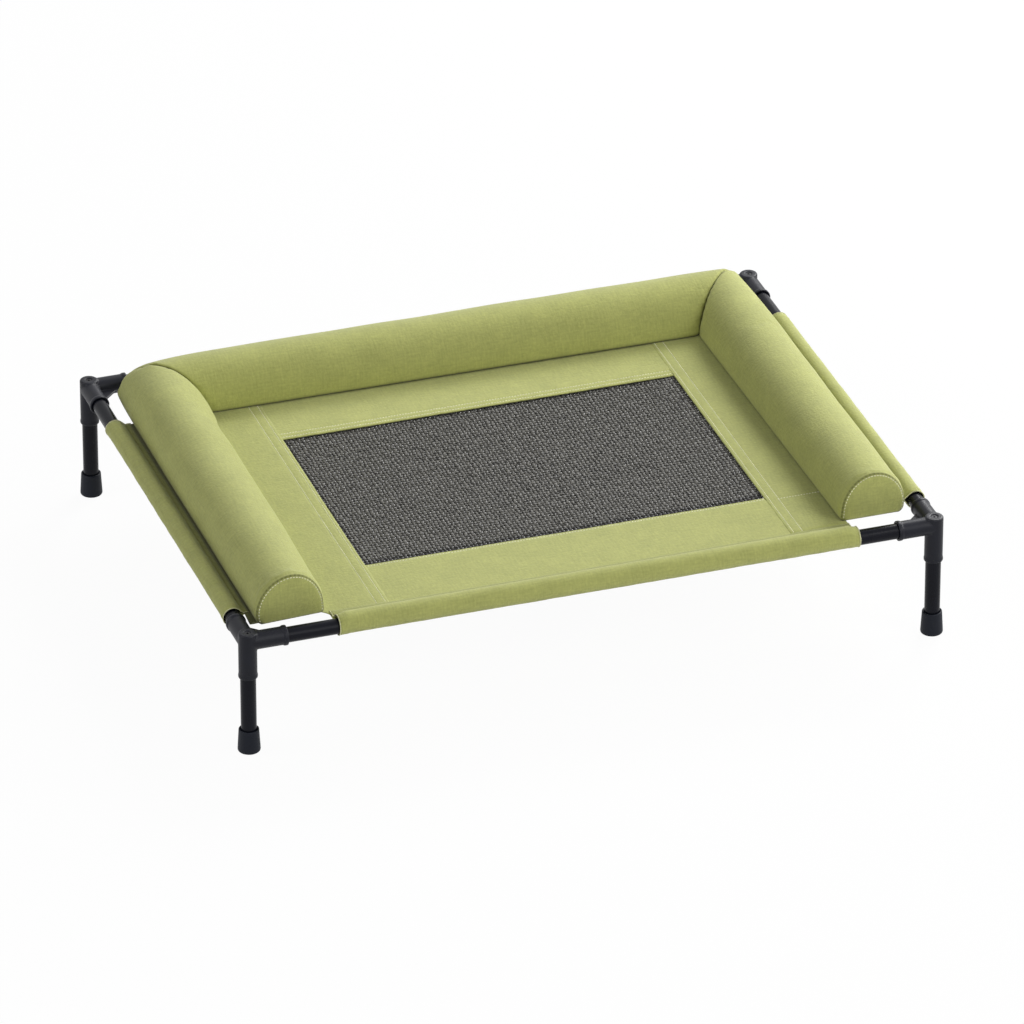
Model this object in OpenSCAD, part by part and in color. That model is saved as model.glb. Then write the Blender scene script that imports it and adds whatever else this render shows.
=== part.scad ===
// Raised dog cot: a tube frame on four legs, a taut cloth sheet with a net window,
// and stuffed bolsters along three sides.
// Millimetres. Origin on the floor under the middle of the frame, +X to the right,
// +Y to the rear, +Z up.

/* [Frame] */
// Distance between the leg axes along the long side
frame_length = 1000; // [900:10:1200]
// Distance between the leg axes along the short side
frame_depth = 756; // [680:2:900]
// Height of the rail axes above the floor
rail_height = 172; // [150:1:260]
// Outside diameter of the rails and the legs
tube_d = 22; // [20:0.5:24]
// Wall of the rails and the legs
tube_wall = 1.2; // [0.8:0.1:2]
// Length of the spigot that joins the two halves of a long rail
spigot_length = 45; // [25:1:80]
// Length of the cone that leads down to the spigot
swage_length = 6; // [3:0.5:12]

/* [Corner fittings] */
// Distance from the crossing of the axes to a socket's mouth
socket_reach = 55.5; // [50:0.5:80]
// Wall of a socket
socket_wall = 1.8; // [1.4:0.1:3]
// Wall between the bottoms of two neighbouring sockets
stop_wall = 2.8; // [2:0.1:5]
// Width of the collar round a rail socket's mouth
collar_width = 5.5; // [3:0.5:9]
// Height of that collar above the socket
collar_height = 1.3; // [0.5:0.1:2.5]
// Width of the lip round the leg socket's mouth
lip_width = 5; // [3:0.5:9]
// Height of that lip above the socket
lip_height = 0.6; // [0.3:0.1:1.5]
// Height of the flat top above the rail sockets
cap_rise = 1; // [0.5:0.1:4]
// Chamfer round the flat top
cap_chamfer = 1.25; // [0.5:0.05:2]
// Lead-in chamfer inside each socket's mouth
mouth_chamfer = 0.8; // [0.3:0.1:1.2]
// Thickness of the web between the two rail sockets
web_thickness = 3; // [2:0.5:6]
// How far the web reaches along each rail socket
web_reach = 39; // [32:0.5:44]
// How far the web's middle lies below the rail axes
web_drop = 2; // [0:0.5:6]

/* [Leg screws] */
// Diameter of the screw's shank
screw_d = 4.8; // [4:0.1:6]
// Length of the shank
screw_length = 46; // [40:1:60]
// Diameter of the screw's head
screw_head_d = 8.8; // [8:0.1:11]
// Height of the screw's head
screw_head_h = 2.6; // [2:0.1:4]
// How far the head lies below the fitting's flat top
screw_sink = 1.2; // [0.5:0.1:2]
// Width of the hexagon recess across its corners
key_width = 3.6; // [2.5:0.1:5]
// Depth of the hexagon recess
key_depth = 1.5; // [1:0.1:1.8]
// Length of the threaded plug inside the leg
plug_length = 24; // [18:1:40]
// Thickness of the plug's flange on the leg's end
plug_flange = 2; // [1.5:0.1:4]

/* [Feet] */
// Height of a foot
foot_height = 35; // [25:1:45]
// Diameter of a foot where it widens to the floor
foot_base_d = 32; // [30.5:0.1:40]
// Diameter of a foot at its rim
foot_rim_d = 28.3; // [27:0.1:30]
// Thickness of rubber under the leg
foot_floor = 6; // [3:0.5:10]
// Rounding of the foot's bottom edge
foot_edge = 3; // [1:0.25:4]
// Chamfer inside the foot's rim
foot_mouth = 1; // [0.5:0.1:1.5]

/* [Sheet] */
// Thickness of one layer of cloth or net
cloth_t = 1; // [0.6:0.1:1.5]
// How far the sheet's lower cloth layer lies above the rail axes
sheet_rise = 2; // [0:0.5:3]
// Distance from the front and rear rail axes to their sleeves' seams
long_seam_in = 36; // [30:0.5:45]
// Distance from the left and right rail axes to their sleeves' seams
side_seam_in = 24; // [22:0.5:30]
// Width of the seam in which a sleeve holds the sheet's edge
seam_lap = 8; // [5:0.5:9]
// Bare rail from the left leg axis to the front and rear sleeves
long_gap_left = 129; // [100:1:160]
// Bare rail from the right leg axis to the front and rear sleeves
long_gap_right = 114; // [100:1:160]
// Bare rail from the front leg axis to the side sleeves
side_gap_front = 70; // [65:1:130]
// Bare rail from the rear leg axis to the side sleeves
side_gap_rear = 126; // [70:1:150]
// How far the left panel runs on past its sleeve's front end
left_flap = 27; // [0:1:35]
// Rounding of the panels' cut-outs at the front corners
front_notch_round = 25; // [10:1:30]
// Rounding of the panels' cut-outs at the rear corners
rear_notch_round = 90; // [20:1:95]
// Width of the left panel, from the rail axis to the window
left_margin = 215; // [180:1:260]
// Width of the right panel, from the rail axis to the window
right_margin = 201; // [180:1:260]
// Depth of the front panel, from the rail axis to the window
front_margin = 145; // [110:1:190]
// Depth of the rear panel, from the rail axis to the window
rear_margin = 241; // [200:1:290]
// Overlap of two layers at a seam inside the sheet
panel_lap = 20; // [12:1:30]
// Gaps of the net along the long side
net_columns = 20; // [10:1:20]
// Gaps of the net along the short side
net_rows = 15; // [8:1:15]
// Width of the net's strands
net_strand = 4; // [2:0.5:6]

/* [Bolsters] */
// Width of a bolster at its widest
bolster_width = 98; // [80:1:115]
// Height of a bolster
bolster_height = 66.5; // [50:0.5:90]
// Height of a bolster's widest line above its base
bolster_belly = 12; // [6:0.5:18]
// How far a bolster is drawn in at its end seams
draw_in = 2.5; // [0:0.25:5]
// Length over which it swells again
draw_length = 16; // [8:1:40]
// Thickness of the bolsters' cover
cover_t = 1.2; // [0.8:0.1:2]
// Thickness of the panel that closes a bolster's front end
end_panel_t = 1.2; // [0.8:0.1:2]
// Distance from the front sleeve's seam to the bolsters' front ends
bolster_front_gap = 3; // [2.5:0.5:60]
// Distance from a sleeve's seam to the bolster beside it
bolster_seam_gap = 1.2; // [0.6:0.1:10]

/* [Clearances] */
// Between a tube and its socket, on the radius
tube_fit = 0.2; // [0.1:0.05:0.4]
// Between a rail and its sleeve, on the radius
sleeve_fit = 0.3; // [0.2:0.05:0.6]
// Between a spigot and the rail round it, on the radius
spigot_fit = 0.15; // [0.1:0.05:0.3]
// Between a screw and its holes, on the radius
screw_fit = 0.25; // [0.1:0.05:0.4]
// Between a plug and its leg, on the radius
plug_fit = 0.1; // [0.05:0.05:0.3]
// Between a leg and its foot, on the radius
foot_fit = 0.2; // [0.1:0.05:0.4]
// Between a panel's edge and the bottom of the seam that holds it
edge_gap = 1; // [0.5:0.1:2]
// Between a cover and its filling
fill_gap = 0.3; // [0.2:0.1:1]

/* [Hidden] */
$fn = 64;
// Keeps a cut clear of the face that it opens
cut = 1;

// Frame places
half_length = frame_length / 2;
half_depth = frame_depth / 2;
tube_r = tube_d / 2;
bore_r = tube_r - tube_wall;

// Corner fitting, measured from the crossing of its axes
socket_bore_r = tube_r + tube_fit;
socket_r = socket_bore_r + socket_wall;
socket_stop = socket_bore_r + stop_wall;
cap_top = socket_r + cap_rise;
screw_seat = cap_top - screw_sink - screw_head_h;

// Leg, measured from the floor
leg_top = rail_height - socket_stop - plug_flange;

// Sheet levels: the net lies lowest, the side panels lie on the front and rear panels
net_z = rail_height + sheet_rise - cloth_t * 3 / 2;
long_panel_z = net_z + cloth_t;
side_panel_z = long_panel_z + cloth_t;
bolster_z = side_panel_z + cloth_t;

// Sheet outline
long_edge = half_depth - long_seam_in + seam_lap - edge_gap;
side_edge = half_length - side_seam_in + seam_lap - edge_gap;
window_left = left_margin - half_length;
window_right = half_length - right_margin;
window_front = front_margin - half_depth;
window_rear = half_depth - rear_margin;
notch_steps = 24;
sleeve_steps = 36;

// Bolsters: half an ellipse whose widest line lies a little above the base
bolster_a = bolster_width / 2;
bolster_b = bolster_height - bolster_belly;
base_half = bolster_a * sqrt(1 - pow(bolster_belly / bolster_b, 2));
side_bolster_x = half_length - side_seam_in - bolster_seam_gap - base_half;
rear_bolster_y = half_depth - long_seam_in - bolster_seam_gap - base_half;
bolster_front_y = long_seam_in + bolster_front_gap - half_depth;
side_bolster_run = rear_bolster_y - bolster_front_y;
arch_steps = 20;
base_steps = 4;
cover_rings = 14;
filling_rings = 10;

tube_black = [0.10, 0.10, 0.11];
fitting_black = [0.15, 0.155, 0.165];
rubber_black = [0.13, 0.13, 0.14];
steel_dark = [0.25, 0.25, 0.26];
plug_grey = [0.35, 0.35, 0.36];
cloth_green = [0.66, 0.68, 0.40];
cloth_green_dark = [0.58, 0.61, 0.34];
net_grey = [0.28, 0.28, 0.29];
filling_white = [0.93, 0.92, 0.88];

// Puts a piece made for the front left corner at the corner (side_x, side_y)
module at_corner(side_x, side_y) {
    mirror([side_x > 0 ? 1 : 0, 0, 0])
        mirror([0, side_y > 0 ? 1 : 0, 0])
            translate([-half_length, -half_depth, 0])
                children();
}

// Lays a piece drawn along +Z along +X
module along_x() {
    rotate([0, 90, 0])
        children();
}

// Lays a piece drawn along +Z along +Y
module along_y() {
    rotate([-90, 0, 0])
        children();
}

module tube(length) {
    difference() {
        cylinder(r = tube_r, h = length);
        translate([0, 0, -cut])
            cylinder(r = bore_r, h = length + 2 * cut);
    }
}

// Corner fittings: a rail socket along +X, another along +Y and a leg socket along -Z
module arm(mouth_width, mouth_height) {
    cylinder(r = socket_r, h = socket_reach);
    translate([0, 0, socket_reach - mouth_width])
        cylinder(r = socket_r + mouth_height, h = mouth_width);
}

module socket_bore() {
    translate([0, 0, socket_stop])
        cylinder(r = socket_bore_r, h = socket_reach - socket_stop + cut);
    translate([0, 0, socket_reach - mouth_chamfer])
        cylinder(r1 = socket_bore_r, r2 = socket_bore_r + mouth_chamfer, h = mouth_chamfer);
}

module fitting_cap() {
    cylinder(r = socket_r, h = cap_top - cap_chamfer);
    translate([0, 0, cap_top - cap_chamfer])
        cylinder(r1 = socket_r, r2 = socket_r - cap_chamfer, h = cap_chamfer);
}

module fitting_web() {
    translate([0, 0, -web_drop - web_thickness / 2])
        linear_extrude(web_thickness)
            polygon([
                [0, 0],
                [web_reach, 0],
                [web_reach, socket_r],
                [socket_r, web_reach],
                [0, web_reach]
            ]);
}

module screw_hole() {
    translate([0, 0, -socket_stop - cut])
        cylinder(d = screw_d + 2 * screw_fit, h = socket_stop + cap_top + 2 * cut);
    translate([0, 0, screw_seat])
        cylinder(d = screw_head_d + 2 * screw_fit, h = cap_top - screw_seat + cut);
}

module corner(side_x, side_y) {
    color(fitting_black)
        at_corner(side_x, side_y)
            translate([0, 0, rail_height])
                difference() {
                    union() {
                        fitting_cap();
                        fitting_web();
                        along_x() arm(collar_width, collar_height);
                        along_y() arm(collar_width, collar_height);
                        mirror([0, 0, 1]) arm(lip_width, lip_height);
                    }
                    along_x() socket_bore();
                    along_y() socket_bore();
                    mirror([0, 0, 1]) socket_bore();
                    screw_hole();
                }
}

// Legs, feet and what fastens the legs
module leg(side_x, side_y) {
    color(tube_black)
        at_corner(side_x, side_y)
            translate([0, 0, foot_floor])
                tube(leg_top - foot_floor);
}

module foot_profile() {
    difference() {
        union() {
            translate([foot_base_d / 2 - foot_edge, foot_edge])
                circle(r = foot_edge);
            polygon([
                [0, 0],
                [foot_base_d / 2 - foot_edge, 0],
                [foot_base_d / 2 - foot_edge, foot_edge],
                [foot_base_d / 2, foot_edge],
                [foot_rim_d / 2, foot_height],
                [0, foot_height]
            ]);
        }
        translate([-cut, foot_floor])
            square([tube_r + foot_fit + cut, foot_height]);
        polygon([
            [tube_r + foot_fit, foot_height - foot_mouth],
            [tube_r + foot_fit + foot_mouth, foot_height],
            [tube_r + foot_fit + foot_mouth, foot_height + cut],
            [tube_r, foot_height + cut],
            [tube_r, foot_height - foot_mouth]
        ]);
        translate([-foot_base_d, -cut])
            square([foot_base_d, foot_height + 2 * cut]);
    }
}

module foot(side_x, side_y) {
    color(rubber_black)
        at_corner(side_x, side_y)
            rotate_extrude()
                foot_profile();
}

module screw() {
    difference() {
        union() {
            translate([0, 0, screw_seat])
                cylinder(d = screw_head_d, h = screw_head_h);
            translate([0, 0, screw_seat - screw_length])
                cylinder(d = screw_d, h = screw_length + cut);
        }
        translate([0, 0, screw_seat + screw_head_h - key_depth])
            cylinder(d = key_width, h = key_depth + cut, $fn = 6);
    }
}

module plug() {
    difference() {
        union() {
            translate([0, 0, leg_top])
                cylinder(r = tube_r, h = plug_flange);
            translate([0, 0, leg_top - plug_length])
                cylinder(r = bore_r - plug_fit, h = plug_length + cut);
        }
        translate([0, 0, leg_top - plug_length - cut])
            cylinder(d = screw_d + 2 * screw_fit, h = plug_length + plug_flange + 2 * cut);
    }
}

module leg_screws() {
    color(steel_dark)
        for (side_x = [-1, 1], side_y = [-1, 1])
            at_corner(side_x, side_y)
                translate([0, 0, rail_height])
                    screw();
}

module leg_plugs() {
    color(plug_grey)
        for (side_x = [-1, 1], side_y = [-1, 1])
            at_corner(side_x, side_y)
                plug();
}

// Rails: the long ones are two halves, the left half's spigot inside the right half
module short_rail(side_x) {
    color(tube_black)
        translate([side_x * half_length, socket_stop - half_depth, rail_height])
            along_y()
                tube(frame_depth - 2 * socket_stop);
}

module spigot_half() {
    length = half_length - socket_stop;
    spigot_r = bore_r - spigot_fit;
    rotate_extrude()
        polygon([
            [bore_r, 0],
            [tube_r, 0],
            [tube_r, length],
            [spigot_r, length],
            [spigot_r, length + spigot_length],
            [spigot_r - tube_wall, length + spigot_length],
            [spigot_r - tube_wall, length],
            [bore_r, length - swage_length]
        ]);
}

module long_rail_left(side_y) {
    color(tube_black)
        translate([socket_stop - half_length, side_y * half_depth, rail_height])
            along_x()
                spigot_half();
}

module long_rail_right(side_y) {
    color(tube_black)
        translate([0, side_y * half_depth, rail_height])
            along_x()
                tube(half_length - socket_stop);
}

// Sleeves: cloth round a rail, drawn together in a seam that holds the sheet's edge.
// The section has the rail axis at its origin, x towards the sheet and y up.
function tangent_turn(point, r, side) =
    atan2(point[1], point[0]) + side * acos(r / norm(point));

function arc(r, first, last) =
    [for (i = [0:sleeve_steps])
        let (turn = first + (last - first) * i / sleeve_steps)
        [r * cos(turn), r * sin(turn)]];

// One face of the cloth, from the seam over the rail and under it back to the seam
function sleeve_face(r, seam_in, low, high) =
    let (
        over = [seam_in - seam_lap, high],
        under = [seam_in - seam_lap, low]
    )
    concat(
        [[seam_in, high], over],
        arc(r, tangent_turn(over, r, 1), 360 + tangent_turn(under, r, -1)),
        [under, [seam_in, low]]
    );

function backwards(points) =
    [for (i = [len(points) - 1:-1:0]) points[i]];

module sleeve_section(seam_in, low, high) {
    inner_r = tube_r + sleeve_fit;
    polygon(concat(
        sleeve_face(inner_r + cloth_t, seam_in, low - cloth_t, high + cloth_t),
        backwards(sleeve_face(inner_r, seam_in, low, high))
    ));
}

module long_sleeve(side_y) {
    color(cloth_green_dark)
        mirror([0, side_y > 0 ? 1 : 0, 0])
            translate([long_gap_left - half_length, -half_depth, rail_height])
                rotate([90, 0, 90])
                    linear_extrude(frame_length - long_gap_left - long_gap_right)
                        sleeve_section(
                            long_seam_in,
                            long_panel_z - rail_height,
                            bolster_z - rail_height
                        );
}

module side_sleeve(side_x) {
    color(cloth_green_dark)
        mirror([side_x > 0 ? 1 : 0, 0, 0])
            translate([-half_length, half_depth - side_gap_rear, rail_height])
                rotate([90, 0, 0])
                    linear_extrude(frame_depth - side_gap_front - side_gap_rear)
                        sleeve_section(
                            side_seam_in,
                            side_panel_z - rail_height,
                            bolster_z - rail_height
                        );
}

// Sheet: flat panels of cloth round a net window
module rectangle(low, high) {
    translate(low)
        square(high - low);
}

// Cut-out round a leg, with a rounded inner corner, drawn from the leg's axis
module notch(side_x, side_y, reach_x, reach_y, rounding) {
    outline = concat(
        [[0, 0], [reach_x, 0]],
        [for (i = [0:notch_steps])
            let (turn = 90 * i / notch_steps)
            [reach_x - rounding * (1 - cos(turn)), reach_y - rounding * (1 - sin(turn))]],
        [[0, reach_y]]
    );
    translate([side_x * half_length, side_y * half_depth])
        polygon([for (p = outline) [-side_x * p[0], -side_y * p[1]]]);
}

module long_panel(side_y) {
    low_y = side_y > 0 ? window_rear : -long_edge;
    high_y = side_y > 0 ? long_edge : window_front;
    color(cloth_green)
        translate([0, 0, long_panel_z])
            linear_extrude(cloth_t)
                rectangle([window_left - panel_lap, low_y], [window_right + panel_lap, high_y]);
}

module side_panel(side_x) {
    low_x = side_x > 0 ? window_right : -side_edge;
    high_x = side_x > 0 ? side_edge : window_left;
    long_gap = side_x > 0 ? long_gap_right : long_gap_left;
    front_gap = side_x > 0 ? side_gap_front : side_gap_front - left_flap;
    color(cloth_green)
        translate([0, 0, side_panel_z])
            linear_extrude(cloth_t)
                difference() {
                    rectangle([low_x, -long_edge], [high_x, long_edge]);
                    notch(side_x, -1, long_gap, front_gap, front_notch_round);
                    notch(side_x, 1, long_gap, side_gap_rear, rear_notch_round);
                }
}

module net_panel() {
    pitch_x = (window_right - window_left) / net_columns;
    pitch_y = (window_rear - window_front) / net_rows;
    color(net_grey)
        translate([0, 0, net_z])
            linear_extrude(cloth_t)
                difference() {
                    rectangle(
                        [window_left - panel_lap, window_front - panel_lap],
                        [window_right + panel_lap, window_rear + panel_lap]
                    );
                    for (column = [0:net_columns - 1], row = [0:net_rows - 1])
                        translate([
                            window_left + column * pitch_x + net_strand / 2,
                            window_front + row * pitch_y + net_strand / 2
                        ])
                            square([pitch_x - net_strand, pitch_y - net_strand]);
                }
}

// Bolsters: rings of one section, from a start plane to an end plane. A point of a ring
// is [outward, along, up]. A lean of 1 or -1 turns an end plane into a 45 degree mitre.
function section(inset, shrink) =
    let (
        a = bolster_a - inset - shrink,
        b = bolster_b - inset - shrink,
        start = asin((bolster_belly - inset) / b)
    )
    concat(
        [for (i = [0:arch_steps])
            let (turn = -start + (180 + 2 * start) * i / arch_steps)
            [a * cos(turn), bolster_belly + b * sin(turn)]],
        [for (i = [1:base_steps - 1])
            [a * cos(start) * (2 * i / base_steps - 1), inset]]
    );

function ring(share, run, start_lean, end_lean, start_gap, end_gap, inset) =
    let (
        near = start_gap + share * (run - start_gap - end_gap),
        shrink = draw_in * (exp(-near / draw_length) + exp(-(run - near) / draw_length))
    )
    [for (p = section(inset, shrink))
        let (
            first = start_gap + start_lean * p[0],
            last = run - end_gap + end_lean * p[0]
        )
        [p[0], first + share * (last - first), p[1]]];

function rings(count, run, start_lean, end_lean, start_gap, end_gap, inset) =
    [for (k = [0:count])
        each ring((1 - cos(180 * k / count)) / 2, run, start_lean, end_lean, start_gap, end_gap, inset)];

ring_size = arch_steps + base_steps;

// Triangles of a skin of rings, seen from outside where flip is false
function skin(count, offset, flip) =
    [for (k = [0:count - 1], i = [0:ring_size - 1])
        let (
            p = offset + k * ring_size + i,
            q = offset + k * ring_size + (i + 1) % ring_size
        )
        each flip
            ? [[p, q + ring_size, q], [p, p + ring_size, q + ring_size]]
            : [[p, q, q + ring_size], [p, q + ring_size, p + ring_size]]];

// Triangles of the rim between an outer and an inner ring
function rim(outer, inner, flip) =
    [for (i = [0:ring_size - 1])
        let (j = (i + 1) % ring_size)
        each flip
            ? [[outer + i, inner + j, outer + j], [outer + i, inner + i, inner + j]]
            : [[outer + i, outer + j, inner + j], [outer + i, inner + j, inner + i]]];

// Triangles of a flat end, as a fan round its own middle point
function end_fan(first, middle, flip) =
    [for (i = [0:ring_size - 1])
        let (j = (i + 1) % ring_size)
        flip ? [first + i, middle, first + j] : [first + i, first + j, middle]];

module bolster_cover(run, start_lean, end_lean) {
    outer = rings(cover_rings, run, start_lean, end_lean, 0, 0, 0);
    inner = rings(cover_rings, run, start_lean, end_lean, 0, 0, cover_t);
    last = cover_rings * ring_size;
    size = last + ring_size;
    polyhedron(
        concat(outer, inner),
        concat(
            skin(cover_rings, 0, false),
            skin(cover_rings, size, true),
            rim(0, size, true),
            rim(last, size + last, false)
        )
    );
}

module bolster_filling(run, start_lean, end_lean) {
    body = rings(filling_rings, run, start_lean, end_lean, fill_gap, fill_gap, cover_t + fill_gap);
    last = filling_rings * ring_size;
    size = last + ring_size;
    middle_up = bolster_height / 2;
    polyhedron(
        concat(body, [[0, fill_gap, middle_up], [0, run - fill_gap, middle_up]]),
        concat(
            skin(filling_rings, 0, false),
            end_fan(0, size, true),
            end_fan(last, size + 1, false)
        )
    );
}

// Puts a bolster, drawn from its front end with +X outward, on the right or the left
module at_side_bolster(side_x) {
    mirror([side_x < 0 ? 1 : 0, 0, 0])
        translate([side_bolster_x, bolster_front_y, bolster_z])
            children();
}

// Puts a bolster along the rear, drawn from its right end with +X outward
module at_rear_bolster() {
    translate([side_bolster_x, rear_bolster_y, bolster_z])
        rotate([0, 0, 90])
            children();
}

module side_bolster_cover(side_x) {
    color(cloth_green)
        at_side_bolster(side_x)
            bolster_cover(side_bolster_run, 0, 1);
}

module side_bolster_filling(side_x) {
    color(filling_white)
        at_side_bolster(side_x)
            bolster_filling(side_bolster_run, 0, 1);
}

module side_bolster_end(side_x) {
    color(cloth_green_dark)
        at_side_bolster(side_x)
            rotate([90, 0, 0])
                linear_extrude(end_panel_t)
                    polygon(section(0, draw_in));
}

module rear_bolster_cover() {
    color(cloth_green)
        at_rear_bolster()
            bolster_cover(2 * side_bolster_x, -1, 1);
}

module rear_bolster_filling() {
    color(filling_white)
        at_rear_bolster()
            bolster_filling(2 * side_bolster_x, -1, 1);
}

corner(-1, -1);  // corner_front_left
corner(1, -1);  // corner_front_right
corner(-1, 1);  // corner_rear_left
corner(1, 1);  // corner_rear_right
leg(-1, -1);  // leg_front_left
leg(1, -1);  // leg_front_right
leg(-1, 1);  // leg_rear_left
leg(1, 1);  // leg_rear_right
foot(-1, -1);  // foot_front_left
foot(1, -1);  // foot_front_right
foot(-1, 1);  // foot_rear_left
foot(1, 1);  // foot_rear_right
leg_screws();
leg_plugs();
long_rail_left(-1);  // front_rail_left
long_rail_right(-1);  // front_rail_right
long_rail_left(1);  // rear_rail_left
long_rail_right(1);  // rear_rail_right
short_rail(-1);  // left_rail
short_rail(1);  // right_rail
long_sleeve(-1);  // front_sleeve
long_sleeve(1);  // rear_sleeve
side_sleeve(-1);  // left_sleeve
side_sleeve(1);  // right_sleeve
long_panel(-1);  // front_panel
long_panel(1);  // rear_panel
side_panel(-1);  // left_panel
side_panel(1);  // right_panel
net_panel();
side_bolster_cover(-1);  // left_bolster_cover
rear_bolster_cover();
side_bolster_cover(1);  // right_bolster_cover
side_bolster_end(-1);  // left_bolster_end
side_bolster_end(1);  // right_bolster_end
side_bolster_filling(-1);  // left_bolster_filling
rear_bolster_filling();
side_bolster_filling(1);  // right_bolster_filling
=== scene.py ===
import math

import bmesh
import bpy
from mathutils import Matrix, Vector, noise


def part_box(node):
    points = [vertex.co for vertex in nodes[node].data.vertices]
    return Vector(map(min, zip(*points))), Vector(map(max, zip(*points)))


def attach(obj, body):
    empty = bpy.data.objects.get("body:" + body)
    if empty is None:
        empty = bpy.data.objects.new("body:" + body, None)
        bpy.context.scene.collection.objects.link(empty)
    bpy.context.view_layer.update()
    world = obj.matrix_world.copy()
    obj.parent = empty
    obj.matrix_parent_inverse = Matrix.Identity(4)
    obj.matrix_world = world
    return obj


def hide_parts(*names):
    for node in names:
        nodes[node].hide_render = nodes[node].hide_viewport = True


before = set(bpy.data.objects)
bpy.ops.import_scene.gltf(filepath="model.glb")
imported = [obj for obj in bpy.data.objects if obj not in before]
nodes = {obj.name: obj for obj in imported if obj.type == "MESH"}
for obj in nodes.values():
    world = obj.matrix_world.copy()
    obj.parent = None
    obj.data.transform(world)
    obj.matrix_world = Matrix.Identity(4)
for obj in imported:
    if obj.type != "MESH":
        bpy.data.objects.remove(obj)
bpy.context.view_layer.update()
CORNERS = ["front_left", "front_right", "rear_left", "rear_right"]


def low(node):
    """The lower corner of a CAD piece's box."""
    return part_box(node)[0]


def high(node):
    """The upper corner of a CAD piece's box."""
    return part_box(node)[1]


def lerp(a, b, share):
    """The value at a share of the way from a to b."""
    return a + (b - a) * share


def smooth(share):
    """An S-shaped step from 0 to 1."""
    share = min(1.0, max(0.0, share))
    return share * share * (3 - 2 * share)


def steps(first, last, pitch):
    """Even steps of about a pitch from first to last."""
    count = max(1, round(abs(last - first) / pitch))
    return [lerp(first, last, i / count) for i in range(count + 1)]


# Places of the frame and the sheet, in metres, taken from the CAD pieces
LEG_X = (low("leg_front_right").x + high("leg_front_right").x) / 2
LEG_Y = (low("leg_rear_right").y + high("leg_rear_right").y) / 2
RAIL_Z = (low("left_rail").z + high("left_rail").z) / 2
CLOTH_T = high("left_panel").z - low("left_panel").z
LONG_TOP = high("front_panel").z
SIDE_TOP = high("left_panel").z
# The hems at the window's right and rear are folded back a little further than in the CAD
RIGHT_HEM_BACK = 0.0018
REAR_HEM_BACK = 0.006
WINDOW_LEFT = high("left_panel").x
WINDOW_RIGHT = low("right_panel").x + RIGHT_HEM_BACK
WINDOW_FRONT = high("front_panel").y
WINDOW_REAR = low("rear_panel").y + REAR_HEM_BACK
LONG_EDGE = high("rear_panel").y
SIDE_EDGE = high("right_panel").x
LONG_SEAM = low("rear_sleeve").y
SIDE_SEAM = low("right_sleeve").x
SLEEVE_R = high("right_sleeve").x - LEG_X
# Bare rail from a leg's axis to the sleeves: along X by side, along Y at the front and rear
GAP_X = {-1: low("front_sleeve").x + LEG_X, 1: LEG_X - high("front_sleeve").x}
GAP_Y = {-1: low("left_sleeve").y + LEG_Y, 1: LEG_Y - high("left_sleeve").y}
# Bolsters: half-width, middle lines, front end, base, height, and how high they are widest
BOLSTER_A = (high("rear_bolster_cover").y - low("rear_bolster_cover").y) / 2
BOLSTER_X = high("right_bolster_cover").x - BOLSTER_A
BOLSTER_Y = high("rear_bolster_cover").y - BOLSTER_A
BOLSTER_FRONT = low("left_bolster_cover").y
BOLSTER_Z = low("left_bolster_cover").z
BOLSTER_TALL = high("left_bolster_cover").z - BOLSTER_Z
BOLSTER_BELLY = 0.012
# The bed between the bolsters
BED_X = BOLSTER_X - BOLSTER_A
BED_REAR = BOLSTER_Y - BOLSTER_A


# Materials


def new_finish(name, colour, roughness, **sockets):
    """A material whose constant values sit on the shader's own sockets."""
    material = bpy.data.materials.new(name)
    material.use_nodes = True
    tree = material.node_tree
    surface = tree.nodes["Principled BSDF"]
    surface.inputs["Base Color"].default_value = (*colour, 1)
    surface.inputs["Roughness"].default_value = roughness
    for socket, value in sockets.items():
        surface.inputs[socket.replace("_", " ")].default_value = value
    return material, tree, surface


def add_node(tree, kind, values=None, **settings):
    """A shader node with its settings, and its inputs set or linked by name or number."""
    node = tree.nodes.new("ShaderNode" + kind)
    for setting, value in settings.items():
        setattr(node, setting, value)
    for socket, value in (values or {}).items():
        if isinstance(value, bpy.types.NodeSocket):
            tree.links.new(value, node.inputs[socket])
        else:
            node.inputs[socket].default_value = value
    return node


def math_node(tree, operation, a, b):
    """The result of one sum on two values or sockets."""
    return add_node(tree, "Math", {0: a, 1: b}, operation=operation).outputs[0]


def streaks(tree, place, across, along, detail=2.0):
    """Noise drawn out into streaks, so many to the metre each way."""
    mapped = add_node(tree, "Mapping", {"Vector": place, "Scale": (across, along, across)})
    grain = add_node(tree, "TexNoise", {"Vector": mapped.outputs[0], "Scale": 1.0, "Detail": detail})
    return grain.outputs["Fac"]


def shade(colour, share):
    """A colour made darker or lighter by a share."""
    return tuple(min(1.0, c * share) for c in colour)


def tint(tree, fac, colour, spread, lowest, highest):
    """A colour that varies with a noise value between a darker and a lighter tone."""
    share = add_node(tree, "MapRange", {"Value": fac, "From Min": lowest, "From Max": highest})
    tones = {0: share.outputs[0], 6: (*shade(colour, 1 - spread), 1), 7: (*shade(colour, 1 + spread), 1)}
    return add_node(tree, "Mix", tones, data_type="RGBA").outputs[2]


def raise_by(tree, surface, height, depth, strength):
    """Bumps a surface by a height value, depth in metres."""
    bump = add_node(tree, "Bump", {"Height": height, "Distance": depth, "Strength": strength})
    tree.links.new(bump.outputs[0], surface.inputs["Normal"])


CLOTH_GREEN = (0.438, 0.458, 0.141)
# How dark painted shade makes the cloth in seams, creases and at the bolsters' feet, which carry a mark of
# their own
PAINTED_SEAM_SHADE = 0.16
YARN_PITCH = 0.0011
# A wave texture of scale 1 repeats after this length
WAVE_LENGTH = 2 * math.pi / 20
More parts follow.
